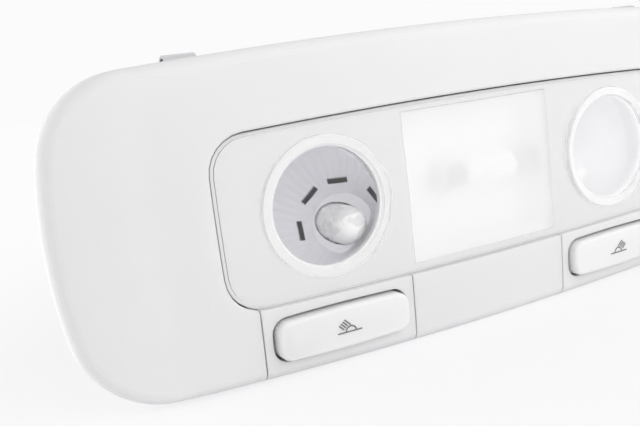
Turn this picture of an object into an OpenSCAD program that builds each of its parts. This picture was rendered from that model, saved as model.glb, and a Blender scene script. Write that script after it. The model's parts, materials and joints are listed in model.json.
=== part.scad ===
/* [Reading lamps] */
// Radius of each round lens with its ring
ring_r = 17; // [15:0.1:20]
// Width of the ring round the lens
ring_w = 2.7; // [2:0.1:3.4]
// Gap round the ring
ring_gap = 0.15; // [0.1:0.05:0.3]
// How far the ring stands proud of the cover
ring_rise = 0.5; // [0.3:0.1:0.8]
// Radius of the reflector's floor
bowl_floor_r = 7.6; // [7.4:0.1:8]
// Focal length of the reflector's bowl
bowl_focus = 4; // [3.6:0.1:4.4]
// Depth of the reflector's floor behind the cover's face
bowl_depth = 11.5; // [11:0.1:12]
// Wall of the reflector
bowl_wall = 1.2; // [1:0.1:1.4]
// Number of flutes round the bowl
flutes = 44; // [30:2:60]
// Depth of the flutes at the rim
flute_depth = 0.3; // [0.2:0.05:0.5]

/* [Bulbs] */
// How far the wedge bulb sits towards the middle from the lamp's centre
bulb_in = 8.2; // [7.5:0.1:9]
// How far the wedge bulb sits below the lamp's centre
bulb_down = 7; // [6:0.1:7.4]
// Radius of the wedge bulb's glass
bulb_r = 4.9; // [4.6:0.05:5.2]
// Wall of the bulb glass
glass_wall = 0.5; // [0.4:0.05:0.7]
// Length of the festoon bulb over its caps
festoon_l = 31; // [30:0.5:36]
// Radius of the festoon bulb's glass
festoon_r = 4; // [3.6:0.1:4.2]
// Radius of its metal caps
cap_r = 3.5; // [3.2:0.1:3.8]
// Room between the festoon bulb and the right wall of its tray
festoon_room = 1.3; // [1:0.1:3]

/* [Centre window] */
// Width of the frosted window
window_w = 46.6; // [40:0.2:56]
// Bar between the window and the ring of each lamp
window_bar = 5.6; // [4:0.1:8]
// Bar above and below the window
window_edge = 2.15; // [2:0.05:3]

/* [Lens cover] */
// Bar of the cover above and below the rings
lens_bar = 4.35; // [4:0.05:6]
// Bar of the cover beside the outer edge of the rings
lens_side = 10.6; // [8:0.1:14]
// Radius of the cover's bowed top edge
lens_bow_r = 1516; // [1200:10:2400]
// Radius of its straighter bottom edge
lens_low_r = 4500; // [2400:50:6000]
// Radius of its bowed ends
lens_end_r = 472; // [300:2:900]
// Radius of its corners
lens_corner_r = 9; // [7:0.5:11]
// Thickness of the clear cover
lens_t = 1.6; // [1.4:0.1:2.2]
// Gap between the cover and the bezel
lens_gap = 0.4; // [0.3:0.05:0.6]
// Width of the step along the cover's edge
lens_step = 0.7; // [0.5:0.1:1]

/* [Bezel] */
// Width of the bezel's ends beside the cover
end_w = 36; // [30:0.5:45]
// Height of the band above the cover, and of the strip below it
band_h = 18.35; // [16:0.05:24]
// Radius of the gently bowed top edge
long_bow_r = 1508; // [1200:10:2400]
// Radius of the straighter bottom edge
low_bow_r = 3300; // [1500:20:4000]
// Radius of the bowed ends
end_bow_r = 123; // [100:1:220]
// Radius of the four corners
bezel_corner_r = 21; // [19:0.5:25]
// Depth from the seat plane to the highest point of the front
bezel_d = 14; // [13.5:0.25:18]
// Radius of the front's curve along its width
crown_w_r = 1056; // [950:10:2000]
// Radius of the front's curve along its height
crown_h_r = 555; // [500:5:1200]
// Radius with which the two ends roll back beside the lens
end_roll_r = 150; // [140:5:400]
// Radius of the rolled outer edge
edge_r = 3; // [2:0.25:3.5]
// Wall of the bezel moulding
bezel_wall = 2.5; // [2:0.1:3]
// Depth of the ledge that carries the lens and the strip, in front of the seat plane
ledge_d = 6.5; // [6:0.25:7]
// Thickness of that ledge
ledge_t = 2; // [1.6:0.1:3]
// Width of the ledge under the edge of the lens
ledge_w = 2.5; // [2:0.1:2.8]
// Small step along the edge of the opening
lip_step = 0.35; // [0.2:0.05:0.5]

/* [Switch strip] */
// How far the strip ends inside the ends of the cover
strip_in = 7.3; // [6:0.1:9]
// Width of the blank insert in the middle
blank_w = 50; // [44:0.2:60]
// Seam between the inserts
seam = 0.35; // [0.25:0.05:0.5]
// Panel left beside the button's pocket
button_side = 2.05; // [1.5:0.05:3]
// Panel left above the button's pocket
button_over = 1.9; // [1.8:0.05:2.4]
// Panel left below the button's pocket
button_under = 4.3; // [3.8:0.1:5]
// Gap round the button
button_gap = 0.7; // [0.4:0.05:0.8]
// How far the button stands proud of its panel
button_rise = 2.5; // [2.1:0.1:2.8]
// Travel of the button
travel = 2; // [1.6:0.1:2]
// Rounding of the button's face edge
button_edge = 1; // [0.6:0.1:1.2]
// Corner radius of the button
button_corner_r = 3.2; // [2.5:0.1:3.6]

/* [Housing] */
// How far the rear housing reaches beyond each end of the cover
housing_side = 12.5; // [11:0.5:16]
// Rim of the bezel above the housing
housing_over = 8.7; // [8:0.1:10]
// Rim of the bezel below the housing
housing_under = 3.7; // [3.6:0.1:4]
// Depth of the housing behind the seat plane
housing_d = 20; // [19:0.5:24]
// Wall of the housing
housing_wall = 1.8; // [1.5:0.1:2.2]
// Distance of the screws from the housing's ends
screw_in = 5.5; // [5.4:0.1:7]
// Distance of the screws above and below the middle
screw_z = 20; // [18:0.5:22]
// Radius of the screw bosses
boss_r = 3.6; // [3.2:0.1:4]

/* [Clips and connector] */
// Distance of each spring clip's centre from the housing's end
clip_in = 14; // [12:0.5:18]
// Width of the steel clip
clip_w = 7.8; // [7:0.1:10]
// Thickness of the clip's steel
clip_t = 0.6; // [0.5:0.1:0.8]
// How far the clip's bend stays below the bezel's top edge at the middle
clip_below = 0.4; // [0:0.1:0.8]
// Width of the connector's socket
socket_w = 22; // [20:1:26]
// Height of the connector's socket
socket_h = 10; // [9.5:0.5:12]
// Depth of the connector's socket
socket_d = 10.5; // [10:0.5:13]
// Number of contact pins
pins = 4; // [2:1:4]

/* [Hidden] */

$fn = 96;
far = 60;
slip = 0.1;
snug = 0.15;

window_r = ring_r - ring_w;
lamp_x = window_w / 2 + window_bar + ring_r;
lens_w = 2 * (lamp_x + ring_r + lens_side);
lens_h = 2 * (ring_r + lens_bar);
lens_low = -lens_h / 2;
window_h = lens_h - 2 * window_edge;
bezel_w = lens_w + 2 * end_w;
bezel_h = lens_h + 2 * band_h;
bezel_low = -bezel_h / 2;
bezel_size = [bezel_w, bezel_h];
bezel_radii = [long_bow_r, end_bow_r, bezel_corner_r, low_bow_r];
lens_size = [lens_w, lens_h];
lens_radii = [lens_bow_r, lens_end_r, lens_corner_r, lens_low_r];
bezel_steps = [5, 14, 12];
lens_steps = [2, 6, 12];
button_steps = [2, 5, 4];

ledge_y = -ledge_d;
rail_back = ledge_y + ledge_t;
opening_wall = 2;
roll_start = lens_w / 2 + lens_gap + opening_wall;
carrier_t = 1.5;
carrier_rim = 1.2;
carrier_lift = lens_t + slip;
skin_back = carrier_lift + carrier_t;

lamp_tilt = asin(lamp_x / crown_w_r);
bulb_x = lamp_x - bulb_in;
bowl_tilt = [-17.5, -31.6, 0];
bowl_reach = 22;
bowl_mouth_r = window_r + 1.2;
flange_r = ring_r + 1;
flange_drop = 0.4;
bulb_gap = 0.4;
slot_places = [33, 91, 135, 187];
slot_r = bowl_floor_r + 2.8;
slot_w = 5;
slot_h = 1.2;
reading_lens_t = lens_t - slip;
bulb_tip = -9.4;
bulb_end = 6;
pinch = [8.2, 2.6, 10.8];
pinch_end = bulb_end + pinch.z;
socket_r = bulb_r + 1.5;
socket_front = bulb_end - 0.7;
collar_r = socket_r + 2.8;
collar_t = 1.6;
key_h = 5.4;
key_w = 3;
lead_x = 1.6;
lead_r = 0.25;

tray_wall = 1.2;
tray_lip = 0.5;
tray_back = -0.5;
tray_inner = window_w / 2 - tray_lip;
cap_l = 6.5;
festoon_half = festoon_l / 2;
glass_half = festoon_half - cap_l;
festoon_x = tray_inner - festoon_room - festoon_half;
festoon_y = tray_back - tray_wall - festoon_r;
neck_r = festoon_r - 1.4;
contact_t = 0.5;
tip_r = 1.2;
contact_h = 7;
contact_foot = 6;

strip_half = lens_w / 2 - strip_in;
blank_half = blank_w / 2;
strip_top = lens_low - seam;
pocket_x = [blank_half + seam + button_side, strip_half - button_side];
pocket_z = [bezel_low + button_under, strip_top - button_over];
pocket_size = [pocket_x[1] - pocket_x[0], pocket_z[1] - pocket_z[0]];
button_x = (pocket_x[0] + pocket_x[1]) / 2;
button_z = (pocket_z[0] + pocket_z[1]) / 2;
button_size = pocket_size - 2 * button_gap * [1, 1];
button_radii = [400, 60, button_corner_r, 400];
pocket_radii = button_radii + button_gap * [1, 1, 1, 1];
button_skin = 1.6;
button_wall = 1.2;
ceiling_y = front(button_x, button_z) - button_rise + button_skin;
skirt_end = ledge_y - travel - slip;
guide_r = 1.6;
guide_x = button_size.x / 2 - button_wall - guide_r - 2.4;
guide_end = rail_back + 1.5;
plunger_flange_r = button_size.y / 2 - button_wall - 0.4;
plunger_r = plunger_flange_r - 1.4;
plunger_end = rail_back + 5.5;
flange_t = 1;
leg_w = 4;
leg_t = 1;
leg_out = 10;
leg_z = strip_top - 1.1;
leg_places = [-button_x - leg_out, -button_x + leg_out, -15, 15, button_x - leg_out, button_x + leg_out];

housing_w = lens_w + 2 * housing_side;
housing_top = bezel_h / 2 - housing_over;
housing_low = bezel_h / 2 - housing_under;
housing_mid = (housing_top - housing_low) / 2;
housing_h = housing_top + housing_low;
housing_corner = 6;
screw_x = housing_w / 2 - screw_in;
screw_r = 1.2;
screw_reach = 5.5;
screw_slot = [3.6, 0.7, 1.2];
head_r = 2.9;
head_h = 2.2;
head_seat = 4;
clip_x = housing_w / 2 - clip_in;
clip_top = bezel_h / 2 - clip_below;
hook = [12, 7, 1];
hook_x = strip_half - hook.x;

switch_d = 12.5;
switch_wall = 1.5;
switch_half = [8, button_z + housing_low - housing_wall - slip];
switch_floor = rail_back + switch_d - switch_wall;
spring_start = rail_back + slip + flange_t;
spring_r = plunger_flange_r - 0.7;
wire_r = 0.3;

strip_t = 0.8;
strip_bar = 4;
stake_r = 1;
bar_z = -bulb_down + collar_r + 1.2;
low_bar_z = -bulb_down - collar_r - 5;
tab_x = bulb_x + collar_r + 0.3;
riser_x = tab_x + 2 * strip_bar;
stake_x = 24;
stakes = [for (x = [-stake_x, stake_x], z = [bar_z + strip_bar / 2, low_bar_z - strip_bar / 2]) [x, z]];
connector_wall = 2;
connector_base = 2.5;
pin_pitch = 4;
pin_size = [2.4, 0.8, 6];
pin_drop = 3;
pin_places = [for (i = [0:pins - 1]) (i - (pins - 1) / 2) * pin_pitch];
connector_z = bar_z + strip_bar + socket_h / 2 + connector_wall + 1.4;
connector_low = connector_z - socket_h / 2 - connector_wall;
connector_mouth = housing_d + connector_base + socket_d;

// The front face: a double curve with its highest point in the middle, and ends that roll back
function roll(x) = pow(max(0, abs(x) - roll_start), 2) / (2 * end_roll_r);
function front(x, z) =
    let (r = crown_w_r - crown_h_r + sqrt(pow(crown_h_r, 2) - z * z))
    crown_w_r - bezel_d - sqrt(r * r - x * x) + roll(x);
function bottom_edge(x) = bezel_low + low_bow_r - sqrt(pow(low_bow_r, 2) - x * x);

// Points on an arc, without its last one
function arc(centre, r, from, to, n) = [
    for (i = [0:n - 1])
        let (t = from + (to - from) * i / n)
        centre + r * [cos(t), sin(t)]
];

// A quarter of an outline with bowed sides: end arc, corner arc and long arc, each tangent to the next
function bowed_quarter(a, b, long_r, end_r, corner_r, n) =
    let (
        long_c = [0, b - long_r],
        end_c = [a - end_r, 0],
        d = norm(end_c - long_c),
        u = (end_c - long_c) / d,
        t = (pow(long_r - corner_r, 2) - pow(end_r - corner_r, 2) + d * d) / (2 * d),
        h = sqrt(pow(long_r - corner_r, 2) - t * t),
        c = long_c + t * u + h * [u.y, -u.x],
        end_a = atan2(c.y - end_c.y, c.x - end_c.x),
        long_a = atan2(c.y - long_c.y, c.x - long_c.x)
    )
    concat(
        arc(end_c, end_r, 0, end_a, n[0]),
        arc(c, corner_r, end_a, long_a, n[1]),
        arc(long_c, long_r, long_a, 90, n[2]),
        [[0, b]]
    );

// The whole outline; the bottom edge has a bow of its own
function bowed_loop(size, radii, n, inset = 0) =
    let (
        a = size.x / 2 - inset,
        b = size.y / 2 - inset,
        r = [for (v = radii) v - inset],
        high = bowed_quarter(a, b, r[0], r[1], r[2], n),
        low = bowed_quarter(a, b, r[3], r[1], r[2], n),
        m = len(high) - 1
    )
    concat(
        high,
        [for (i = [m - 1:-1:0]) [-high[i].x, high[i].y]],
        [for (i = [1:m]) -low[i]],
        [for (i = [m - 1:-1:1]) [low[i].x, -low[i].y]]
    );

function lens_loop(inset = 0) = bowed_loop(lens_size, lens_radii, lens_steps, inset);

module rounded(w, h, r) {
    square([w, h - 2 * r], center = true);
    square([w - 2 * r, h], center = true);
    for (x = [r - w / 2, w / 2 - r], y = [r - h / 2, h / 2 - r]) translate([x, y]) circle(r);
}

// A solid through rings of points, closed by flat ends or by a point over the last ring
module loft(rings, tip = undef) {
    n = len(rings[0]);
    last = (len(rings) - 1) * n;
    sides = [
        for (j = [0:n:last - n], i = [0:n - 1])
            let (k = (i + 1) % n)
            each [[j + i, j + n + k, j + k], [j + i, j + n + i, j + n + k]]
    ];
    start = [[for (i = [0:n - 1]) i]];
    end = is_undef(tip)
        ? [[for (i = [n - 1:-1:0]) last + i]]
        : [for (i = [0:n - 1]) [last + i, last + n, last + (i + 1) % n]];
    points = [for (ring = rings) each ring];
    polyhedron(is_undef(tip) ? points : concat(points, [tip]), concat(sides, start, end));
}

// A plate whose face follows the front and whose edge is rolled
module domed(size, radii, n, edge, back, at = [0, 0], lift = 0, insets = [], shrinks = [0.5]) {
    deepest = len(insets) > 0 ? insets[len(insets) - 1] : edge;
    reach = size.x / 2 - size.y / 2;
    function shrunk(p, f) =
        let (m = [max(-reach, min(reach, p.x)), 0])
        m + (p - m) * f;
    function placed(p, drop = 0) =
        let (q = at + p)
        [q.x, front(q.x, q.y) - lift + drop, q.y];
    function ring(inset, drop = 0) = [for (p = bowed_loop(size, radii, n, inset)) placed(p, drop)];
    loft(
        concat(
            [[for (p = bowed_loop(size, radii, n)) [at.x + p.x, back, at.y + p.y]]],
            [for (t = [0:15:90]) ring(edge * (1 - cos(t)), edge * (1 - sin(t)))],
            [for (d = insets) ring(d)],
            [for (f = shrinks) [for (p = bowed_loop(size, radii, n, deepest)) placed(shrunk(p, f))]]
        ),
        tip = placed([0, 0])
    );
}

// Everything behind the front face, moved back by a distance
module behind_front(by, xs, zs, steps, back = far) {
    loft([
        for (i = [0:steps.x])
            let (x = xs[0] + (xs[1] - xs[0]) * i / steps.x)
            concat(
                [[x, back, zs[0]]],
                [[x, back, zs[1]]],
                [
                    for (j = [steps.y:-1:0])
                        let (z = zs[0] + (zs[1] - zs[0]) * j / steps.y)
                        [x, front(x, z) + by, z]
                ]
            )
    ]);
}

// A flat outline, drawn as width and height, run along the depth
module along_y(from, to) {
    translate([0, to, 0]) rotate([90, 0, 0]) linear_extrude(to - from) children();
}

module block(low, high) {
    translate(low) cube(high - low);
}

module rod(x, z, r, from, to) {
    translate([x, to, z]) rotate([90, 0, 0]) cylinder(r = r, h = to - from);
}

// The left reading lamp's own frame, with its face square to the front
module at_lamp() {
    translate([-lamp_x, front(lamp_x, 0), 0]) rotate([90, 0, -lamp_tilt]) children();
}

module mirrored() {
    mirror([1, 0, 0]) children();
}

module both_sides() {
    children();
    mirrored() children();
}

module bezel_blank() {
    domed(
        bezel_size, bezel_radii, bezel_steps, edge_r, 0,
        insets = [edge_r + 4, bezel_corner_r - 9, bezel_corner_r - 4], shrinks = [0.66, 0.33]
    );
}

module housing_outline(inset = 0) {
    translate([0, housing_mid])
        rounded(housing_w - 2 * inset, housing_h - 2 * inset, housing_corner - inset);
}

// The space behind the face, less the walls that stay: round the cover, the strip and the housing
module bezel_hollow() {
    half = bezel_size / 2;
    difference() {
        intersection() {
            along_y(-far, 1) polygon(bowed_loop(bezel_size, bezel_radii, bezel_steps, bezel_wall));
            behind_front(bezel_wall, [-half.x, half.x], [-half.y, half.y], [24, 8], 1);
        }
        along_y(-far, rail_back) polygon(lens_loop(-lens_gap - opening_wall));
        block(
            [-strip_half - seam - opening_wall, -far, -far],
            [strip_half + seam + opening_wall, rail_back, lens_low + ledge_w]
        );
        along_y(-far, 0)
            difference() {
                housing_outline();
                housing_outline(housing_wall);
            }
        bezel_bosses();
        bezel_ribs();
    }
}

module bezel_bosses() {
    both_sides()
        for (z = [-screw_z, screw_z]) rod(-screw_x, z, boss_r, -far, 0);
}

module bezel_ribs() {
    rib = 1.2;
    count = 6;
    for (i = [0:count - 1])
        let (x = ((i + 0.5) / count * 2 - 1) * strip_half)
        block([x - rib / 2, -far, lens_h / 2], [x + rib / 2, rail_back, bezel_h / 2]);
    both_sides()
        for (z = [-screw_z, screw_z] * 0.4)
            block([-bezel_w / 2, -far, z - rib / 2], [-lens_w / 2 - lens_gap - 1, rail_back, z + rib / 2]);
}

module rail_holes() {
    both_sides() {
        rod(-button_x, button_z, plunger_r + 0.8, ledge_y - 1, rail_back + 1);
        for (side = [-1, 1])
            rod(-button_x + side * guide_x, button_z, guide_r + slip, ledge_y - 1, rail_back + 1);
    }
    for (x = leg_places)
        block(
            [x - leg_w / 2 - 0.2, ledge_y - 1, leg_z - leg_t / 2 - 0.2],
            [x + leg_w / 2 + 0.2, rail_back + 1, leg_z + leg_t / 2 + 0.2]
        );
}

// Room in the rear rim for the bend of each spring clip
module clip_notch() {
    half = clip_w / 2 + 0.5;
    depth = 1.2;
    block([-clip_x - half, -depth, housing_top], [-clip_x + half, 1, bezel_h / 2 + 1]);
}

module trim_frame() {
    xs = [-bezel_w / 2, bezel_w / 2];
    zs = [-bezel_h / 2, bezel_h / 2];
    color([0.88, 0.88, 0.87])
        difference() {
            bezel_blank();
            along_y(-far, ledge_y) polygon(lens_loop(-lens_gap));
            difference() {
                along_y(-far, ledge_y - 1) polygon(lens_loop(-lens_gap - lip_step));
                behind_front(lip_step, xs, zs, [24, 8]);
            }
            along_y(-far, far) polygon(lens_loop(ledge_w));
            block(
                [-strip_half - seam, -far, -far],
                [strip_half + seam, ledge_y, lens_low + ledge_w]
            );
            bezel_hollow();
            both_sides() {
                for (z = [-screw_z, screw_z]) rod(-screw_x, z, screw_r + 0.05, -screw_reach - 0.5, 1);
                clip_notch();
            }
            rail_holes();
        }
}

// The clear cover, with a step along its edge and a round hole for each reading lens
module lens_cover() {
    xs = [-lens_w / 2 - 1, lens_w / 2 + 1];
    zs = [-lens_h / 2 - 1, lens_h / 2 + 1];
    color([0.92, 0.94, 0.95, 0.4])
        difference() {
            union() {
                intersection() {
                    along_y(-far, 0) polygon(lens_loop(lens_step));
                    behind_front(0, xs, zs, [16, 4]);
                }
                intersection() {
                    along_y(-far, 0) polygon(lens_loop());
                    behind_front(lens_step, xs, zs, [16, 4]);
                }
            }
            behind_front(lens_t, xs, zs, [16, 4]);
            both_sides() at_lamp() cylinder(r = ring_r + ring_gap, h = 20, center = true);
        }
}

// The grey carrier behind the cover, open at the lamps and at the window
module lamp_carrier() {
    xs = [-lens_w / 2 - 1, lens_w / 2 + 1];
    zs = [-lens_h / 2 - 1, lens_h / 2 + 1];
    color([0.86, 0.86, 0.86])
        difference() {
            intersection() {
                along_y(-far, ledge_y) polygon(lens_loop());
                behind_front(carrier_lift, xs, zs, [16, 4]);
            }
            intersection() {
                along_y(-far, 0) polygon(lens_loop(carrier_rim));
                behind_front(skin_back, xs, zs, [16, 4]);
            }
            both_sides() at_lamp() cylinder(r = window_r, h = 20, center = true);
            block([-window_w / 2, -far, -window_h / 2], [window_w / 2, 0, window_h / 2]);
        }
}

module centre_diffuser() {
    half = [window_w, window_h] / 2 - slip * [1, 1];
    xs = [-half.x - 1, half.x + 1];
    zs = [-half.y - 1, half.y + 1];
    color([0.97, 0.97, 0.98, 0.7])
        difference() {
            intersection() {
                block([-half.x, -far, -half.y], [half.x, 0, half.y]);
                behind_front(carrier_lift, xs, zs, [4, 4]);
            }
            behind_front(skin_back, xs, zs, [4, 4]);
        }
}

// The white tray behind the window
module centre_reflector() {
    lip = [tray_inner, window_h / 2 - tray_lip];
    shelf = ledge_y - slip;
    deep = [lip.x, lens_h / 2 - ledge_w - tray_wall - 0.2];
    color([0.95, 0.95, 0.95])
        difference() {
            intersection() {
                union() {
                    block(
                        [-lip.x - tray_wall, -far, -lip.y - tray_wall],
                        [lip.x + tray_wall, shelf, lip.y + tray_wall]
                    );
                    block(
                        [-deep.x - tray_wall, -far, -deep.y - tray_wall],
                        [deep.x + tray_wall, tray_back, deep.y + tray_wall]
                    );
                }
                behind_front(skin_back + slip, [-lip.x - 2, lip.x + 2], [-lip.y - 2, lip.y + 2], [4, 4]);
            }
            block([-lip.x, -far, -lip.y], [lip.x, shelf - tray_wall, lip.y]);
            block([-deep.x, -far, -deep.y], [deep.x, tray_back - tray_wall, deep.y]);
        }
}

// The round lens: a raised ring that slopes in to a shallow dish
module reading_lens() {
    rim = 0.4;
    color([0.95, 0.96, 0.97, 0.4])
        at_lamp()
            rotate_extrude()
                polygon(concat(
                    [[0, -reading_lens_t], [ring_r, -reading_lens_t]],
                    arc([ring_r - rim, ring_rise - rim], rim, 0, 90, 5),
                    [[ring_r - rim, ring_rise], [window_r + 0.6, ring_rise - 0.3], [window_r, -0.5], [0, -0.3]]
                ));
}

function bowl_r(s) = sqrt(pow(bowl_floor_r, 2) + 4 * bowl_focus * s);

// The bowl's tilted frame, clipped to the round mouth in the flange
module in_bowl(grow) {
    intersection() {
        translate([bulb_in, -bulb_down, -bowl_depth]) rotate(bowl_tilt) children();
        translate([0, 0, -far]) cylinder(r = bowl_mouth_r + grow, h = far);
    }
}

module bowl_shell() {
    steps = 8;
    rotate_extrude()
        polygon(concat(
            [[0, -bowl_wall], [bowl_floor_r + bowl_wall, -bowl_wall]],
            [for (i = [1:steps]) let (s = bowl_reach * i / steps) [bowl_r(s) + bowl_wall, s]],
            [[0, bowl_reach]]
        ));
}

module bowl_hollow() {
    levels = [0, 1.5, 4, 8, 14, bowl_reach];
    points = 4 * flutes;
    loft([
        for (s = levels)
            let (depth = flute_depth * s / (s + 4))
            [
                for (k = [0:points - 1])
                    let (a = 360 * k / points, r = bowl_r(s) - depth * abs(cos(a * flutes / 2)))
                    [r * cos(a), r * sin(a), s]
            ]
    ]);
}

// The tilted bowl under its flange, fluted inside, with vent slots round its floor
module reflector() {
    flange_z = -skin_back - flange_drop;
    color([0.78, 0.79, 0.82])
        difference() {
            at_lamp()
                difference() {
                    union() {
                        translate([0, 0, flange_z - bowl_wall]) cylinder(r = flange_r, h = bowl_wall);
                        intersection() {
                            in_bowl(bowl_wall) bowl_shell();
                            translate([0, 0, flange_z - far]) cylinder(r = flange_r, h = far);
                        }
                    }
                    in_bowl(0) bowl_hollow();
                    in_bowl(bowl_wall)
                        for (a = slot_places)
                            rotate([0, 0, a])
                                translate([slot_r - slot_h / 2, -slot_w / 2, -0.5])
                                    cube([slot_h, slot_w, 6]);
                }
            rod(-bulb_x, -bulb_down, bulb_r + bulb_gap, -far, far);
        }
}

module bulb_at() {
    translate([-bulb_x, 0, -bulb_down]) rotate([90, 0, 0]) children();
}

// The wedge bulb's glass: a dome over a flat pinch, bored for its two leads
module bulb_glass() {
    dome = -bulb_tip - bulb_r;
    hollow_end = bulb_end - 1.5;
    color([0.93, 0.95, 0.97, 0.35])
        bulb_at()
            difference() {
                union() {
                    translate([0, 0, dome]) sphere(r = bulb_r);
                    translate([0, 0, -bulb_end]) cylinder(r = bulb_r, h = dome + bulb_end);
                    translate([-pinch.x / 2, -pinch.y / 2, -pinch_end])
                        cube([pinch.x, pinch.y, pinch.z + 1]);
                }
                translate([0, 0, dome]) sphere(r = bulb_r - glass_wall);
                translate([0, 0, -hollow_end]) cylinder(r = bulb_r - glass_wall, h = dome + hollow_end);
                for (x = [-lead_x, lead_x])
                    translate([x, 0, -pinch_end - 1]) cylinder(r = lead_r + slip, h = pinch_end, $fn = 24);
            }
}

module bulb_filament() {
    top = 3.4;
    color([0.45, 0.45, 0.47])
        bulb_at() {
            for (x = [-lead_x, lead_x])
                translate([x, 0, -pinch_end]) cylinder(r = lead_r, h = pinch_end + top, $fn = 24);
            translate([-lead_x, 0, top]) rotate([0, 90, 0]) cylinder(r = 0.4, h = 2 * lead_x, $fn = 24);
        }
}

// The twist-in holder that carries the wedge bulb, put in from behind
module bulb_holder() {
    handle = housing_d + collar_t;
    color([0.9, 0.9, 0.86])
        difference() {
            union() {
                rod(-bulb_x, -bulb_down, socket_r, socket_front, housing_d);
                rod(-bulb_x, -bulb_down, collar_r, housing_d, handle);
                block(
                    [-bulb_x - key_w / 2, handle, -bulb_down - socket_r],
                    [-bulb_x + key_w / 2, handle + key_h, -bulb_down + socket_r]
                );
            }
            rod(-bulb_x, -bulb_down, bulb_r + snug, socket_front - 1, bulb_end + 0.2);
            block(
                [-bulb_x - pinch.x / 2 - snug, bulb_end, -bulb_down - pinch.y / 2 - snug],
                [-bulb_x + pinch.x / 2 + snug, pinch_end + 0.2, -bulb_down + pinch.y / 2 + snug]
            );
        }
}

module festoon_at() {
    translate([festoon_x, festoon_y, 0]) rotate([0, 90, 0]) children();
}

module festoon_glass() {
    color([0.93, 0.95, 0.97, 0.4])
        festoon_at()
            rotate_extrude()
                polygon([
                    [neck_r - glass_wall, -glass_half - 1], [neck_r, -glass_half - 1], [neck_r, -glass_half],
                    [festoon_r, -glass_half + 1.5], [festoon_r, glass_half - 1.5],
                    [neck_r, glass_half], [neck_r, glass_half + 1], [neck_r - glass_wall, glass_half + 1],
                    [neck_r - glass_wall, glass_half - 0.3],
                    [festoon_r - glass_wall, glass_half - 1.7], [festoon_r - glass_wall, -glass_half + 1.7],
                    [neck_r - glass_wall, -glass_half + 0.3]
                ]);
}

module festoon_caps() {
    color([0.75, 0.75, 0.76])
        festoon_at()
            for (end = [0, 180])
                rotate([0, end, 0])
                    rotate_extrude()
                        polygon([
                            [0, glass_half + 1], [neck_r + 0.05, glass_half + 1], [neck_r + 0.05, glass_half],
                            [cap_r, glass_half], [cap_r, festoon_half - 2.4], [tip_r + 0.6, festoon_half - 1],
                            [tip_r, festoon_half - 0.6], [tip_r, festoon_half], [0, festoon_half]
                        ]);
}

module festoon_filament() {
    color([0.45, 0.45, 0.47])
        festoon_at() {
            translate([0, 0, -glass_half - 1]) cylinder(r = 0.2, h = 2 * glass_half + 2, $fn = 24);
            translate([0, 0, -4]) cylinder(r = 0.5, h = 8, $fn = 24);
        }
}

// A spring plate with a round eye for the tip of the cap
module festoon_contact(side) {
    floor_y = tray_back - tray_wall;
    seat = festoon_half - 0.6 + slip;
    color([0.82, 0.8, 0.72])
        translate([festoon_x, 0, 0])
            mirror([side < 0 ? 1 : 0, 0, 0])
                difference() {
                    union() {
                        block(
                            [seat, festoon_y - contact_h / 2, -contact_h / 2],
                            [seat + contact_t, floor_y, contact_h / 2]
                        );
                        block(
                            [seat + contact_t - contact_foot, floor_y - contact_t, 1 - contact_h / 2],
                            [seat + contact_t, floor_y, contact_h / 2 - 1]
                        );
                    }
                    translate([seat - 1, festoon_y, 0]) rotate([0, 90, 0]) cylinder(r = tip_r + snug, h = 3);
                }
}

// A stretch of the strip below the lens: it carries on the bezel's face and rolled edge
module strip_blank(from, to) {
    n = max(3, ceil((to - from) / 7));
    top = lens_low + ledge_w + 1;
    loft([
        for (i = [0:n])
            let (x = from + (to - from) * i / n, low = bottom_edge(x), rolled = low + edge_r)
            concat(
                [[x, ledge_y, top]],
                [for (j = [3:-1:1]) let (z = rolled + (top - rolled) * j / 3) [x, front(x, z), z]],
                [
                    for (t = [90:-15:0])
                        let (z = low + edge_r * (1 - cos(t)))
                        [x, front(x, z) + edge_r * (1 - sin(t)), z]
                ],
                [[x, ledge_y, low]]
            )
    ]);
}

module snap_leg(x) {
    lip = 0.8;
    translate([x - leg_w / 2, 0, 0]) {
        block([0, ledge_y - 2, leg_z - leg_t / 2], [leg_w, rail_back + slip + lip, leg_z + leg_t / 2]);
        block([0, rail_back + slip, leg_z], [leg_w, rail_back + slip + lip, leg_z + leg_t / 2 + lip]);
    }
}

module strip_insert(from, to) {
    difference() {
        strip_blank(from, to);
        along_y(-far, far) polygon(lens_loop(-seam));
    }
}

module switch_panel() {
    color([0.88, 0.88, 0.87]) {
        difference() {
            strip_insert(-strip_half, -blank_half - seam);
            translate([-button_x, 0, button_z])
                along_y(-far, far) polygon(bowed_loop(pocket_size, pocket_radii, button_steps));
        }
        for (i = [0, 1]) snap_leg(leg_places[i]);
    }
}

module centre_panel() {
    wall = 1.8;
    low = bezel_low + edge_r + 0.8;
    high = leg_z - leg_t / 2 - wall;
    color([0.88, 0.88, 0.87]) {
        difference() {
            strip_insert(-blank_half, blank_half);
            intersection() {
                block([-blank_half + wall, -far, low], [blank_half - wall, far, high]);
                behind_front(bezel_wall, [-blank_half, blank_half], [low - 1, high + 1], [4, 2]);
            }
        }
        for (i = [2, 3]) snap_leg(leg_places[i]);
    }
}

// The button: a cap with a rolled edge, hollow behind, on two guide posts
module button() {
    centre = [-button_x, button_z];
    color([0.91, 0.91, 0.9])
        difference() {
            domed(
                button_size, button_radii, button_steps, button_edge, skirt_end,
                at = centre, lift = button_rise, shrinks = [0.5]
            );
            translate([centre.x, 0, centre.y])
                along_y(ceiling_y, far)
                    polygon(bowed_loop(button_size, button_radii, button_steps, button_wall));
        }
    color([0.91, 0.91, 0.9])
        for (side = [-1, 1])
            rod(-button_x + side * guide_x, button_z, guide_r, ceiling_y - 0.4, guide_end);
}

module plunger() {
    color([0.3, 0.3, 0.32]) {
        rod(-button_x, button_z, plunger_r, ceiling_y, plunger_end);
        rod(-button_x, button_z, plunger_flange_r, rail_back + slip, spring_start);
    }
}

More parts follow.
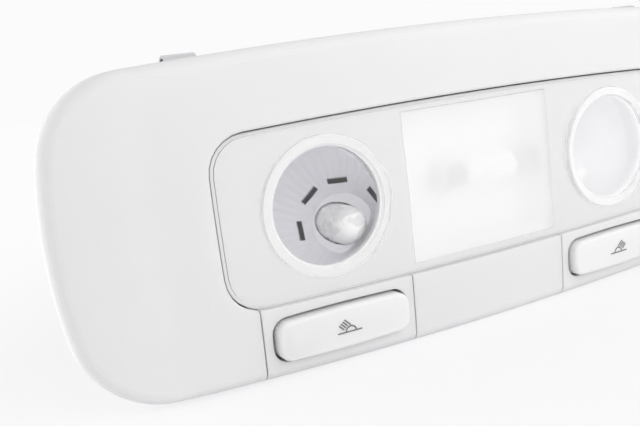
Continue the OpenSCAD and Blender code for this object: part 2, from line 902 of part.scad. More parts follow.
// A helical spring between the plunger's flange and the floor of the switch
module return_spring() {
    turns = 5;
    steps = 12;
    sides = 5;
    length = switch_floor - spring_start - 2 * wire_r;
    function middle(i) =
        let (a = 360 * i / steps)
        [spring_r * cos(a), spring_r * sin(a), wire_r + length * i / (turns * steps)];
    color([0.7, 0.7, 0.72])
        translate([-button_x, switch_floor, button_z])
            rotate([90, 0, 0])
                loft([
                    for (i = [0:turns * steps])
                        let (c = middle(i), a = 360 * i / steps)
                        [
                            for (k = [0:sides - 1])
                                let (b = -360 * k / sides)
                                c + wire_r * [cos(a) * cos(b), sin(a) * cos(b), sin(b)]
                        ]
                ]);
}

module switch_body() {
    color([0.25, 0.25, 0.27])
        difference() {
            block(
                [-button_x - switch_half.x, rail_back, button_z - switch_half.y],
                [-button_x + switch_half.x, rail_back + switch_d, button_z + switch_half.y]
            );
            rod(-button_x, button_z, plunger_flange_r + 0.3, rail_back - 1, switch_floor);
        }
}

// The housing behind the seat plane, open towards the front
module rear_housing() {
    inner = housing_d - housing_wall;
    color([0.83, 0.83, 0.82]) {
        difference() {
            along_y(0, housing_d) housing_outline();
            difference() {
                along_y(-1, inner) housing_outline(housing_wall);
                both_sides()
                    for (z = [-screw_z, screw_z]) rod(-screw_x, z, boss_r + 0.8, -2, far);
            }
            both_sides() {
                for (z = [-screw_z, screw_z]) {
                    rod(-screw_x, z, screw_r + 0.5, -1, far);
                    rod(-screw_x, z, head_r + 0.4, head_seat, far);
                }
                rod(-bulb_x, -bulb_down, socket_r + 0.3, inner - 1, far);
            }
        }
        both_sides() {
            clip_strap();
            housing_hook();
        }
        for (p = stakes) rod(p.x, p.y, stake_r, housing_d - 0.5, housing_d + strip_t + 0.6);
    }
}

// A bridge on the top wall that holds the foot of the spring clip
module clip_strap() {
    half = clip_w / 2 + 0.3;
    post = 1.6;
    strap = [housing_d - 7, housing_d - 3];
    roof = housing_top + clip_t + 0.2;
    difference() {
        block([-clip_x - half - post, strap[0], housing_top - 0.5], [-clip_x + half + post, strap[1], roof + 1.2]);
        block([-clip_x - half, strap[0] - 1, housing_top], [-clip_x + half, strap[1] + 1, roof]);
    }
}

// A wedge on the bottom wall that hooks behind the edge of the roof opening
module housing_hook() {
    start = 2.3;
    translate([-hook_x - hook.x, 0, -housing_low])
        rotate([0, 90, 0])
            linear_extrude(hook.x)
                polygon([[-0.5, start], [hook.z, start], [hook.z, start + 1.2], [-0.5, start + hook.y]]);
}

// A leaf of one thickness along a path, drawn in depth and height
function leaf(path, t) =
    let (
        n = len(path),
        side = [
            for (i = [0:n - 1])
                let (
                    a = path[max(0, i - 1)], b = path[min(n - 1, i + 1)],
                    u = (b - a) / norm(b - a)
                )
                path[i] + t * [-u.y, u.x]
        ]
    )
    concat(path, [for (i = [n - 1:-1:0]) side[i]]);

module spring_clip() {
    foot = housing_top + 0.1;
    bend = clip_top - clip_t;
    path = [
        [housing_d - 1.5, foot], [housing_d - 8, foot], [housing_d - 9.5, foot + 0.5],
        [5.2, bend - 1.2], [4.2, bend - 0.3], [3.2, bend], [2.2, bend - 0.3], [1.4, bend - 1.2], [0.8, bend - 3.4]
    ];
    color([0.35, 0.36, 0.38])
        translate([-clip_x - clip_w / 2, 0, 0])
            rotate([90, 0, 90]) linear_extrude(clip_w) polygon(leaf(path, -clip_t));
}

module strip_plate(low, high) {
    block([low.x, housing_d, low.y], [high.x, housing_d + strip_t, high.y]);
}

module stake_holes() {
    for (p = stakes) rod(p.x, p.y, stake_r + slip, housing_d - 1, far);
}

// The upper brass strip: from the connector to the outer side of both bulb holders
module supply_strip() {
    color([0.8, 0.68, 0.4])
        difference() {
            union() {
                strip_plate([-tab_x - strip_bar, bar_z], [tab_x + strip_bar, bar_z + strip_bar]);
                both_sides() strip_plate([-tab_x - strip_bar, -bulb_down - 3], [-tab_x, bar_z + 1]);
                strip_plate([-pin_pitch - 1, bar_z], [-pin_pitch + 1, connector_low - slip]);
            }
            stake_holes();
        }
}

// The lower brass strip: under both bulb holders and round the right one to the connector
module ground_strip() {
    color([0.8, 0.68, 0.4])
        difference() {
            union() {
                strip_plate([-bulb_x - 3, low_bar_z - strip_bar], [riser_x + strip_bar, low_bar_z]);
                both_sides() strip_plate([-bulb_x - 2, low_bar_z - 1], [-bulb_x + 2, -bulb_down - collar_r - 0.3]);
                strip_plate([riser_x, low_bar_z - 1], [riser_x + strip_bar, connector_z + strip_bar / 2]);
                strip_plate(
                    [socket_w / 2 + connector_wall + slip, connector_z - strip_bar / 2],
                    [riser_x + 1, connector_z + strip_bar / 2]
                );
            }
            stake_holes();
        }
}

module connector_housing() {
    half = [socket_w, socket_h] / 2;
    outer = half + connector_wall * [1, 1];
    color([0.2, 0.2, 0.22])
        difference() {
            union() {
                block(
                    [-outer.x, housing_d, connector_z - outer.y],
                    [outer.x, connector_mouth, connector_z + outer.y]
                );
                block(
                    [-4, connector_mouth - 4, connector_z + outer.y - 0.5],
                    [4, connector_mouth - 1, connector_z + outer.y + 1.2]
                );
            }
            block(
                [-half.x, housing_d + connector_base, connector_z - half.y],
                [half.x, far, connector_z + half.y]
            );
            for (x = pin_places) pin(x, slip / 2);
        }
}

module pin(x, grow) {
    half = [pin_size.x / 2 + grow, pin_size.y / 2 + grow];
    z = connector_z - pin_drop;
    block(
        [x - half.x, housing_d, z - half.y],
        [x + half.x, housing_d + connector_base + pin_size.z, z + half.y]
    );
}

module connector_pins() {
    color([0.8, 0.78, 0.7])
        for (x = pin_places) pin(x, 0);
}

module housing_screws() {
    color([0.6, 0.6, 0.62])
        both_sides()
            for (z = [-screw_z, screw_z])
                difference() {
                    union() {
                        rod(-screw_x, z, screw_r, -screw_reach, head_seat);
                        rod(-screw_x, z, head_r, head_seat, head_seat + head_h);
                    }
                    for (turn = [0, 90])
                        translate([-screw_x, head_seat + head_h - screw_slot.z, z])
                            rotate([0, turn, 0])
                                translate([-screw_slot.x / 2, 0, -screw_slot.y / 2])
                                    cube([screw_slot.x, 3, screw_slot.y]);
                }
}

trim_frame();
lens_cover();
lamp_carrier();
centre_diffuser();
centre_reflector();
reading_lens();  // left_reading_lens
mirrored() reading_lens();  // right_reading_lens
reflector();  // left_reflector
mirrored() reflector();  // right_reflector
bulb_glass();  // left_bulb
mirrored() bulb_glass();  // right_bulb
bulb_filament();  // left_bulb_filament
mirrored() bulb_filament();  // right_bulb_filament
bulb_holder();  // left_bulb_socket
mirrored() bulb_holder();  // right_bulb_socket
festoon_glass();
festoon_caps();
festoon_filament();
festoon_contact(-1);  // festoon_contact_left
festoon_contact(1);  // festoon_contact_right
switch_panel();  // left_switch_panel
centre_panel();
mirrored() switch_panel();  // right_switch_panel
button();  // left_button
mirrored() button();  // right_button
plunger();  // left_plunger
mirrored() plunger();  // right_plunger
return_spring();  // left_return_spring
mirrored() return_spring();  // right_return_spring
switch_body();  // left_switch_body
mirrored() switch_body();  // right_switch_body
rear_housing();
supply_strip();
ground_strip();
connector_housing();
connector_pins();
spring_clip();  // left_spring_clip
mirrored() spring_clip();  // right_spring_clip
housing_screws();
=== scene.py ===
import json
import math

import bmesh
import bpy
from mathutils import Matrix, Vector


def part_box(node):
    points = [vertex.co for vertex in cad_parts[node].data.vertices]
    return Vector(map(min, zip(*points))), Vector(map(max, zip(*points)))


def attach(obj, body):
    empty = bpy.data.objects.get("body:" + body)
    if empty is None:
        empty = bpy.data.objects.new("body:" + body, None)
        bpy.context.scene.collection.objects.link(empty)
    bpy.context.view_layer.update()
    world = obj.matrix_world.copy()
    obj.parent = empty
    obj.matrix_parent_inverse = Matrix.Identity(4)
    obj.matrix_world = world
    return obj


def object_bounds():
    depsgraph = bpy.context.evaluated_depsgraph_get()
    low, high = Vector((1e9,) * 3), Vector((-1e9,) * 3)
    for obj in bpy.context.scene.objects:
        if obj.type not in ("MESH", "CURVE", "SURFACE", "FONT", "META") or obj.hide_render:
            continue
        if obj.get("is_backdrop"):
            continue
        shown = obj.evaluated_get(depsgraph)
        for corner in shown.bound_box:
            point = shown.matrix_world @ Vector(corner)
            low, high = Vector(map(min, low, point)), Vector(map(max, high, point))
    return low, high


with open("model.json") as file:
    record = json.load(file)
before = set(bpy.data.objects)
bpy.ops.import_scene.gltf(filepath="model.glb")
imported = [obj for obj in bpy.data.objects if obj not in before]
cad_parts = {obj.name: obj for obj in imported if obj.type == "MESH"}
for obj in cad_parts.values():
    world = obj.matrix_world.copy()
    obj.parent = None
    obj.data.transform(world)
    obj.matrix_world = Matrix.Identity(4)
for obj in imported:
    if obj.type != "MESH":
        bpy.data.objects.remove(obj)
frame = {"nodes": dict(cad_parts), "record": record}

bl_info = {
    "name": "Car dome light looks",
    "version": (1, 0, 0),
    "blender": (4, 5, 0),
    "location": "3D Viewport > Sidebar > Dome light",
    "description": "Gives the packed car dome light its materials, pictograms, stage and camera",
    "category": "Object",
}

MM = 0.001

# Refractive indices. The bulbs' thin glass and the frosted window get a low one, so that they bend
# what lies behind them only a little.
PLASTIC_IOR = 1.52
CLEAR_IOR = 1.49
THIN_WALL_IOR = 1.2

# Sizes of the fine structure on the surfaces
MOTTLE = 30 * MM
CLEAR_WAVE = 6 * MM
# The bulb glass's wave sets both its relief and the pattern of its painted highlights
GLASS_CURL_AND_GLINT = 5 * MM
FROST_GRAIN = 0.4 * MM
INK_GRAIN = 0.3 * MM

# Share of the light that spreads inside the pale plastics
SOFT_SHARE = 0.6

# The etched ring of a reading lens: its width, the painted highlight line at its inner edge and its
# milky band
RING_WIDTH = 2.7 * MM
HIGHLIGHT_WIDTH = 0.1 * MM
BAND_START, BAND_END = 0.35 * MM, 0.5 * MM

# The camera's place in metres, and its tilt, roll and heading, fitted to the light in the photo
CAMERA_PLACE = (-0.13096, -0.17733, 0.03225)
CAMERA_DEGREES = (79.651, 7.013, -27.871)

# The lights' places, targets and sizes in metres
KEY_PLACE, KEY_TARGET, KEY_SIZE = (0.1, -0.4, 0.25), (0.01, 0, 0), (0.5, 0.4)
RIM_PLACE, RIM_TARGET, RIM_SIZE = (-0.38, 0.24, 0.01), (-0.1, 0, 0), (0.2, 0.08)

# The floor's half size, and the distances from the middle over which it fades to plain white
FLOOR_HALF = 3
FADE_START, FADE_END = 0.12, 0.3


def linear(code):
    """The linear colour of an sRGB hex code."""
    channels = [int(code[i:i + 2], 16) / 255 for i in (0, 2, 4)]
    return (*[c / 12.92 if c <= 0.04045 else ((c + 0.055) / 1.055) ** 2.4 for c in channels], 1.0)


class DomeLightFinish(bpy.types.PropertyGroup):
    """Colours and surface sizes of the light's materials."""

    bezel: bpy.props.FloatVectorProperty(
        name="Bezel", description="Colour of the bezel and of the panels of the strip",
        default=linear("E8E8E8"), size=4, min=0, max=1, subtype="COLOR",
    )
    button: bpy.props.FloatVectorProperty(
        name="Buttons", description="Colour of the two buttons",
        default=linear("F1F1F0"), size=4, min=0, max=1, subtype="COLOR",
    )
    carrier: bpy.props.FloatVectorProperty(
        name="Carrier", description="Colour of the carrier behind the clear cover",
        default=linear("EDEDEC"), size=4, min=0, max=1, subtype="COLOR",
    )
    reflector: bpy.props.FloatVectorProperty(
        name="Reflectors", description="Colour of the metallised bowls",
        default=linear("F9F9FD"), size=4, min=0, max=1, subtype="COLOR",
    )
    ink: bpy.props.FloatVectorProperty(
        name="Ink", description="Colour of the pictograms",
        default=linear("7A7A7C"), size=4, min=0, max=1, subtype="COLOR",
    )
    grain: bpy.props.FloatProperty(
        name="Mould grain", description="Size of the fine moulded texture on the bezel",
        default=0.35 * MM, min=0.05 * MM, max=2 * MM, unit="LENGTH", precision=6,
    )
    grain_height: bpy.props.FloatProperty(
        name="Grain height", description="Height of the moulded texture",
        default=0.006 * MM, min=0, max=0.1 * MM, unit="LENGTH", precision=6,
    )
    bezel_roughness: bpy.props.FloatProperty(
        name="Bezel roughness", description="Roughness of the light grey bezel",
        default=0.55, min=0.1, max=1, subtype="FACTOR",
    )
    soft_depth: bpy.props.FloatProperty(
        name="Soft depth", description="How far light spreads inside the pale plastics",
        default=2 * MM, min=0, max=6 * MM, unit="LENGTH", precision=5,
    )
    window_roughness: bpy.props.FloatProperty(
        name="Window frosting", description="Roughness of the frosted centre window",
        default=0.18, min=0.05, max=1, subtype="FACTOR",
    )
    window_milk: bpy.props.FloatProperty(
        name="Window milkiness", description="Share of white in the frosted centre window",
        default=0.54, min=0, max=1, subtype="FACTOR",
    )


class DomeLightPrint(bpy.types.PropertyGroup):
    """Sizes of the pictogram on each button."""

    width: bpy.props.FloatProperty(
        name="Width", description="Width of the pictogram over its base line",
        default=6.2 * MM, min=2 * MM, max=9 * MM, unit="LENGTH",
    )
    line: bpy.props.FloatProperty(
        name="Line", description="Width of the printed lines",
        default=0.36 * MM, min=0.1 * MM, max=1 * MM, unit="LENGTH", precision=5,
    )
    thickness: bpy.props.FloatProperty(
        name="Ink", description="How far the printed ink stands on the button's face",
        default=0.04 * MM, min=0.01 * MM, max=0.2 * MM, unit="LENGTH", precision=6,
    )


class DomeLightStage(bpy.types.PropertyGroup):
    """Floor, lights and camera."""

    key_power: bpy.props.FloatProperty(
        name="Key light", description="Power of the large soft box in front",
        default=1.28, min=0, max=20, unit="POWER",
    )
    rim_power: bpy.props.FloatProperty(
        name="Rim light", description="Power of the low light behind the left end",
        default=1.0, min=0, max=20, unit="POWER",
    )
    surround: bpy.props.FloatProperty(
        name="Surround", description="Brightness of the white studio all round",
        default=0.6, min=0, max=3,
    )
    lens: bpy.props.FloatProperty(
        name="Lens", description="Focal length of the camera on a 36 mm sensor",
        default=44.87, min=20, max=200, unit="CAMERA",
    )


def add_node(tree, kind, values=None, links=None, **settings):
    """Adds a node with its settings and input values, and links its inputs to sockets or nodes."""
    node = tree.nodes.new(kind)
    for key, value in settings.items():
        setattr(node, key, value)
    for key, value in (values or {}).items():
        node.inputs[key].default_value = value
    for key, source in (links or {}).items():
        tree.links.new(getattr(source, "outputs", [source])[0], node.inputs[key])
    return node


def new_material(name):
    """An empty node material, its node tree, and the socket with the object's own coordinates."""
    material = bpy.data.materials.new(name)
    material.use_nodes = True
    tree = material.node_tree
    tree.nodes.clear()
    return material, tree, add_node(tree, "ShaderNodeTexCoord").outputs["Object"]


def finished(material, shader):
    """The material with its shader on the surface."""
    add_node(material.node_tree, "ShaderNodeOutputMaterial", links={"Surface": shader})
    return material


def clear_to_light(tree, shader, tint):
    """Lets direct and scattered light through a clear piece, so that what lies behind it is lit."""
    path = add_node(tree, "ShaderNodeLightPath")
    light = add_node(
        tree, "ShaderNodeMath",
        links={0: path.outputs["Is Shadow Ray"], 1: path.outputs["Is Diffuse Ray"]},
        operation="MAXIMUM",
    )
    through = add_node(tree, "ShaderNodeBsdfTransparent", {"Color": tint})
    return add_node(tree, "ShaderNodeMixShader", links={0: light, 1: shader, 2: through})


def shade(colour, share):
    """A colour made darker, or lighter by a share over 1."""
    return (*[share * channel for channel in colour[:3]], 1.0)


def moulded(name, colour, roughness, grain, height, depth=0.0):
    """Injection-moulded plastic: faint mottling, uneven gloss and a fine mould texture.

    Where a depth is given, a share of the light spreads inside and softens the fine gaps.
    """
    material, tree, place = new_material(name)
    broad = add_node(
        tree, "ShaderNodeTexNoise", {"Scale": 1 / MOTTLE, "Detail": 3}, {"Vector": place},
    )
    fine = add_node(
        tree, "ShaderNodeTexNoise",
        {"Scale": 1 / grain, "Detail": 3, "Roughness": 0.6},
        {"Vector": place},
    )
    tint = add_node(
        tree, "ShaderNodeMix", {6: colour, 7: shade(colour, 0.97)}, {0: broad}, data_type="RGBA",
    )
    smoother, rougher = roughness - 0.04, roughness + 0.04
    gloss = add_node(
        tree, "ShaderNodeMapRange",
        {"From Min": 0.3, "From Max": 0.7, "To Min": smoother, "To Max": rougher},
        {"Value": fine},
    )
    relief = add_node(tree, "ShaderNodeBump", {"Distance": height}, {"Height": fine})
    shader = add_node(
        tree, "ShaderNodeBsdfPrincipled",
        {
            "IOR": PLASTIC_IOR,
            "Subsurface Weight": SOFT_SHARE if depth else 0.0,
            "Subsurface Radius": (1, 1, 1),
            "Subsurface Scale": depth,
        },
        {"Base Color": tint.outputs[2], "Roughness": gloss, "Normal": relief},
    )
    return finished(material, shader)


def metal(name, colour, roughness, size, height, share=1.0):
    """Rolled, drawn or plated metal with fine uneven gloss; a share under 1 leaves it milky."""
    material, tree, place = new_material(name)
    grain = add_node(
        tree, "ShaderNodeTexNoise",
        {"Scale": 1 / size, "Detail": 4, "Roughness": 0.6},
        {"Vector": place},
    )
    tint = add_node(
        tree, "ShaderNodeMix", {6: colour, 7: shade(colour, 0.93)}, {0: grain}, data_type="RGBA",
    )
    smoother, rougher = roughness - 0.05, roughness + 0.06
    gloss = add_node(
        tree, "ShaderNodeMapRange",
        {"From Min": 0.3, "From Max": 0.7, "To Min": smoother, "To Max": rougher},
        {"Value": grain},
    )
    relief = add_node(tree, "ShaderNodeBump", {"Distance": height}, {"Height": grain})
    shader = add_node(
        tree, "ShaderNodeBsdfPrincipled", {"Metallic": share},
        {"Base Color": tint.outputs[2], "Roughness": gloss, "Normal": relief},
    )
    return finished(material, shader)


def clear_plastic(name, tint, roughness):
    """Clear moulded plastic, faintly wavy; its bevels and edges, which face aside, are painted
    whitish, which lightens the dark gap lines.
    """
    material, tree, place = new_material(name)
    wave = add_node(
        tree, "ShaderNodeTexNoise", {"Scale": 1 / CLEAR_WAVE, "Detail": 1}, {"Vector": place},
    )
    relief = add_node(tree, "ShaderNodeBump", {"Distance": 0.004 * MM}, {"Height": wave})
    sheet = add_node(
        tree, "ShaderNodeBsdfPrincipled",
        {
            "Base Color": tint, "IOR": CLEAR_IOR, "Roughness": roughness,
            "Transmission Weight": 1.0,
        },
        {"Normal": relief},
    )
    # Painted light: a matt white on the faces that turn aside, which lightens the dark gap lines
    # round the cover
    matt = add_node(
        tree, "ShaderNodeBsdfPrincipled",
        {"Base Color": linear("F4F4F4"), "IOR": CLEAR_IOR, "Roughness": 0.4},
    )
    normal = add_node(tree, "ShaderNodeTexCoord").outputs["Normal"]
    ahead = add_node(
        tree, "ShaderNodeVectorMath", {1: (0, 1, 0)}, {0: normal}, operation="DOT_PRODUCT",
    )
    facing = add_node(
        tree, "ShaderNodeMath", links={0: ahead.outputs["Value"]}, operation="ABSOLUTE",
    )
    painted_edge_light = add_node(
        tree, "ShaderNodeMapRange",
        {"From Min": 0.93, "From Max": 0.8, "To Min": 0.0, "To Max": 0.55},
        {"Value": facing},
    )
    mix = add_node(tree, "ShaderNodeMixShader", links={0: painted_edge_light, 1: sheet, 2: matt})
    return finished(material, clear_to_light(tree, mix, tint))


def blown_glass(name, tint):
    """Thin glass of a bulb: uneven, with painted highlights, a white shader mixed over more than
    half of it and over nearly all of it in a wavy pattern.
    """
    material, tree, place = new_material(name)
    curls_and_glints = add_node(
        tree, "ShaderNodeTexNoise",
        {"Scale": 1 / GLASS_CURL_AND_GLINT, "Detail": 0, "Distortion": 1.6},
        {"Vector": place},
    )
    relief = add_node(tree, "ShaderNodeBump", {"Distance": 0.15 * MM}, {"Height": curls_and_glints})
    glass = add_node(
        tree, "ShaderNodeBsdfPrincipled",
        {
            "Base Color": tint, "IOR": THIN_WALL_IOR, "Roughness": 0.02,
            "Transmission Weight": 1.0,
        },
        {"Normal": relief},
    )
    # Painted highlights: an opaque white over more than half of the glass, and over nearly all of
    # it in the curls
    painted_glint = add_node(
        tree, "ShaderNodeMapRange",
        {"From Min": 0.44, "From Max": 0.56, "To Min": 0.56, "To Max": 0.98},
        {"Value": curls_and_glints}, interpolation_type="SMOOTHSTEP",
    )
    white = add_node(
        tree, "ShaderNodeBsdfPrincipled",
        {"Base Color": linear("FBFBFB"), "IOR": CLEAR_IOR, "Roughness": 0.05},
        {"Normal": relief},
    )
    mix = add_node(tree, "ShaderNodeMixShader", links={0: painted_glint, 1: glass, 2: white})
    return finished(material, clear_to_light(tree, mix, tint))


def frosted(name, finish):
    """Milky moulded plastic of the window: rough, partly see-through and partly white."""
    material, tree, place = new_material(name)
    grain = add_node(
        tree, "ShaderNodeTexNoise", {"Scale": 1 / FROST_GRAIN, "Detail": 2}, {"Vector": place},
    )
    relief = add_node(tree, "ShaderNodeBump", {"Distance": 0.004 * MM}, {"Height": grain})
    sheet = add_node(
        tree, "ShaderNodeBsdfPrincipled",
        {
            "Base Color": linear("FDFDFD"), "IOR": THIN_WALL_IOR,
            "Roughness": finish.window_roughness, "Transmission Weight": 1.0,
        },
        {"Normal": relief},
    )
    milk = add_node(
        tree, "ShaderNodeBsdfPrincipled",
        {"Base Color": linear("FFFFFF"), "IOR": CLEAR_IOR, "Roughness": 0.2},
        {"Normal": relief},
    )
    mix = add_node(tree, "ShaderNodeMixShader", {0: finish.window_milk}, {1: sheet, 2: milk})
    return finished(material, clear_to_light(tree, mix, linear("FAFAFB")))


def etched_ring_and_highlights(name, tint, centre, radius):
    """Clear moulded plastic of the lenses: a thin white line at the radius, painted as a highlight,
    and a frosted milky ring outside it.

    The centre is a lens's distance from the middle of the light, on both sides. A painted glare,
    a white shader, whitens the lens where it is seen at a slant, in place of its reflections.
    """
    material, tree, place = new_material(name)
    wave = add_node(
        tree, "ShaderNodeTexNoise", {"Scale": 1 / CLEAR_WAVE, "Detail": 1}, {"Vector": place},
    )
    relief = add_node(tree, "ShaderNodeBump", {"Distance": 0.003 * MM}, {"Height": wave})
    lens = add_node(
        tree, "ShaderNodeBsdfPrincipled",
        {"Base Color": tint, "IOR": CLEAR_IOR, "Roughness": 0.04, "Transmission Weight": 1.0},
        {"Normal": relief},
    )
    white = add_node(
        tree, "ShaderNodeBsdfPrincipled",
        {"Base Color": linear("F6F6F6"), "IOR": CLEAR_IOR, "Roughness": 0.15},
    )
    folded = add_node(tree, "ShaderNodeVectorMath", links={0: place}, operation="ABSOLUTE")
    off = add_node(
        tree, "ShaderNodeVectorMath", {1: (centre, 0, 0)}, {0: folded}, operation="SUBTRACT",
    )
    flat = add_node(tree, "ShaderNodeVectorMath", {1: (1, 0, 1)}, {0: off}, operation="MULTIPLY")
    length = add_node(tree, "ShaderNodeVectorMath", links={0: flat}, operation="LENGTH")
    far = length.outputs["Value"]
    # Painted highlight: a thin white line along the inner edge of the ring, where its bevel would
    # catch the light
    line = add_node(
        tree, "ShaderNodeMapRange",
        {"From Min": radius, "From Max": radius + HIGHLIGHT_WIDTH, "To Min": 0.0, "To Max": 0.8},
        {"Value": far},
    )
    ring = add_node(
        tree, "ShaderNodeMapRange",
        {
            "From Min": radius + BAND_START, "From Max": radius + BAND_END,
            "To Min": 1.0, "To Max": 0.25,
        },
        {"Value": far},
    )
    highlight_and_etch = add_node(tree, "ShaderNodeMath", links={0: line, 1: ring}, operation="MULTIPLY")
    # Painted glare: white mixed over the lens where it is seen at a slant
    slant = add_node(tree, "ShaderNodeLayerWeight", {"Blend": 0.5})
    painted_glare = add_node(
        tree, "ShaderNodeMapRange",
        {"From Min": 0.16, "From Max": 0.34, "To Min": 0.0, "To Max": 0.6},
        {"Value": slant.outputs["Facing"]},
    )
    share = add_node(tree, "ShaderNodeMath", links={0: highlight_and_etch, 1: painted_glare}, operation="MAXIMUM")
    mix = add_node(tree, "ShaderNodeMixShader", links={0: share, 1: lens, 2: white})
    return finished(material, clear_to_light(tree, mix, tint))


def slot_looks(finish):
    """For each material slot of the record, the function that makes its look and its settings."""
    grain, height, depth = finish.grain, finish.grain_height, finish.soft_depth
    low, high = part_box("right_reading_lens")
    lens_centre = (low[0] + high[0]) / 2
    ring_inside = (high[2] - low[2]) / 2 - RING_WIDTH
    clear = linear("FDFDFD")
    return {
        # ABS from a finely etched mould: an even, silky light grey
        "bezel_plastic": (
            moulded, "Bezel plastic", finish.bezel, finish.bezel_roughness, grain, height, depth,
        ),
        # The same ABS from a smoother mould: a little whiter and glossier than the bezel
        "button_plastic": (
            moulded, "Button plastic", finish.button, 0.42, grain, height / 3, depth,
        ),
        # Clear polycarbonate, moulded and polished: seen only by its reflections and its sides
        # painted pale
        "clear_cover": (clear_plastic, "Clear cover", clear, 0.03),
        # The same polycarbonate with an etched ring, and a painted highlight line round each bowl
        "clear_lens": (etched_ring_and_highlights, "Clear lens", clear, lens_centre, ring_inside),
        # Moulded polypropylene: a soft light grey behind the cover
        "carrier_plastic": (
            moulded, "Carrier plastic", finish.carrier, 0.5, grain, height, depth,
        ),
        # Opal polycarbonate with a frosted back: near white, with only a blur of the bulb behind it
        "frosted_window": (frosted, "Frosted window", finish),
        # Moulded white polypropylene: throws the festoon bulb's light forward
        "white_plastic": (moulded, "White plastic", linear("F8F8F8"), 0.4, grain, height / 2),
        # Vacuum-metallised and lacquered polycarbonate: a satin silver with soft reflections
        "reflector_metal": (
            metal, "Metallised reflector", finish.reflector, 0.34, 1.2 * MM, 0.001 * MM, 0.53,
        ),
        # Blown soda-lime glass: glassy, with painted bright highlights in curls
        "bulb_glass": (blown_glass, "Bulb glass", linear("FCFCFC")),
        # Drawn tungsten wire and nickel leads: dull grey
        "filament_wire": (metal, "Filament wire", linear("8C8C90"), 0.35, 0.2 * MM, 0.002 * MM),
        # Moulded heat-resistant natural polyamide: ivory
        "socket_plastic": (moulded, "Socket plastic", linear("F0EEE6"), 0.5, grain, height),
        # Drawn nickel-plated caps: a bright, neutral grey
        "cap_metal": (metal, "Cap metal", linear("C4C4C6"), 0.25, 0.6 * MM, 0.002 * MM),
        # Stamped tin-plated bronze: pale and satin
        "contact_metal": (metal, "Contact metal", linear("D2CFC2"), 0.3, 0.5 * MM, 0.002 * MM),
        # Moulded black polyamide of the switches: dark satin
        "switch_plastic": (moulded, "Switch plastic", linear("4A4A4E"), 0.45, grain, height),
        # Rolled zinc-plated spring steel: bright grey with a soft sheen
        "spring_steel": (metal, "Spring steel", linear("D4D4D6"), 0.3, 0.5 * MM, 0.002 * MM),
        # Moulded polypropylene of the housing: a duller grey than the bezel
        "housing_plastic": (moulded, "Housing plastic", linear("D6D6D4"), 0.55, grain, height),
        # Stamped brass: warm yellow with a soft sheen
        "strip_brass": (metal, "Strip brass", linear("D8BC7C"), 0.3, 0.5 * MM, 0.002 * MM),
        # Moulded glass-filled polyester: near black and matt
        "connector_plastic": (moulded, "Connector plastic", linear("3A3A3D"), 0.5, grain, height),
        # Cold-formed zinc-plated steel: bluish grey
        "screw_steel": (metal, "Screw steel", linear("B4B6BA"), 0.3, 0.4 * MM, 0.002 * MM),
    }


def ink_material(colour):
    """Pad-printed grey ink of the pictograms: matt, a little uneven."""
    material, tree, place = new_material("Printed ink")
    spread = add_node(tree, "ShaderNodeTexNoise", {"Scale": 1 / INK_GRAIN}, {"Vector": place})
    tint = add_node(
        tree, "ShaderNodeMix", {6: shade(colour, 0.88), 7: shade(colour, 1.12)}, {0: spread},
        data_type="RGBA",
    )
    shader = add_node(
        tree, "ShaderNodeBsdfPrincipled", {"Roughness": 0.5}, {"Base Color": tint.outputs[2]},
    )
    return finished(material, shader)


def dress(slots, finish):
    """Gives every CAD node of the named slots its material."""
    looks = slot_looks(finish)
    materials = {}
    for slot in slots:
        make, *settings = looks[slot]
        materials[slot] = make(*settings)
    for part in frame["record"]["subparts"]:
        if part["material_slot"] in slots:
            mesh = frame["nodes"][part["node"]].data
            mesh.materials.clear()
            mesh.materials.append(materials[part["material_slot"]])


def stroke(points, width):
    """The outline quads of a line through flat points."""
    quads = []
    for a, b in zip(points, points[1:]):
        along = (b - a).normalized() * (width / 2)
        across = Vector((-along.y, along.x))
        start, end = a - along, b + along
        quads.append((start - across, end - across, end + across, start + across))
    return quads


def pictogram(width, line):
    """A round lamp on its base line, with four slanted rays: quads in the plane of the button.

    All places and lengths are shares of the width.
    """
    base, reach = Vector((0.065, -0.19)), Vector((0.5, 0))
    lamp_middle, lamp_radius, lamp_sides = base + Vector((0.045, 0)), 0.22, 12
    first_ray, ray_step = Vector((-0.37, 0.11)), Vector((0.082, 0.066))
    ray_lengths = (0.16, 0.16, 0.16, 0.21)

    angles = [math.pi * i / lamp_sides for i in range(lamp_sides + 1)]
    lamp = [lamp_middle + lamp_radius * Vector((math.cos(a), math.sin(a))) for a in angles]
    paths = [[base - reach, base + reach], lamp]
    for i, length in enumerate(ray_lengths):
        start = first_ray + i * ray_step
        paths.append([start, start + Vector((length, -length))])
    return [quad for path in paths for quad in stroke([width * point for point in path], line)]


def print_on(button, name, settings, material, side):
    """Lays the pictogram on a button's face, following its curve; side -1 mirrors it."""
    low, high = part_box(button)
    middle = Vector(((low[0] + high[0]) / 2, (low[2] + high[2]) / 2))
    in_front = low[1] - 10 * MM
    inside_face = settings.thickness / 2
    surface = frame["nodes"][button]
    shape = bmesh.new()
    for quad in pictogram(settings.width, settings.line):
        corners = []
        for point in quad:
            x, z = middle.x + side * point.x, middle.y + point.y
            _, spot, _, _ = surface.ray_cast(Vector((x, in_front, z)), Vector((0, 1, 0)))
            corners.append(shape.verts.new((x, spot.y - settings.thickness, z)))
        shape.faces.new(corners)
    bmesh.ops.recalc_face_normals(shape, faces=shape.faces)
    grown = bmesh.ops.extrude_face_region(shape, geom=list(shape.faces))
    moved = [v for v in grown["geom"] if isinstance(v, bmesh.types.BMVert)]
    bmesh.ops.translate(shape, verts=moved, vec=(0, settings.thickness + inside_face, 0))
    bmesh.ops.recalc_face_normals(shape, faces=shape.faces)
    mesh = bpy.data.meshes.new(name)
    shape.to_mesh(mesh)
    shape.free()
    mesh.materials.append(material)
    piece = bpy.data.objects.new(name, mesh)
    bpy.context.scene.collection.objects.link(piece)
    return piece


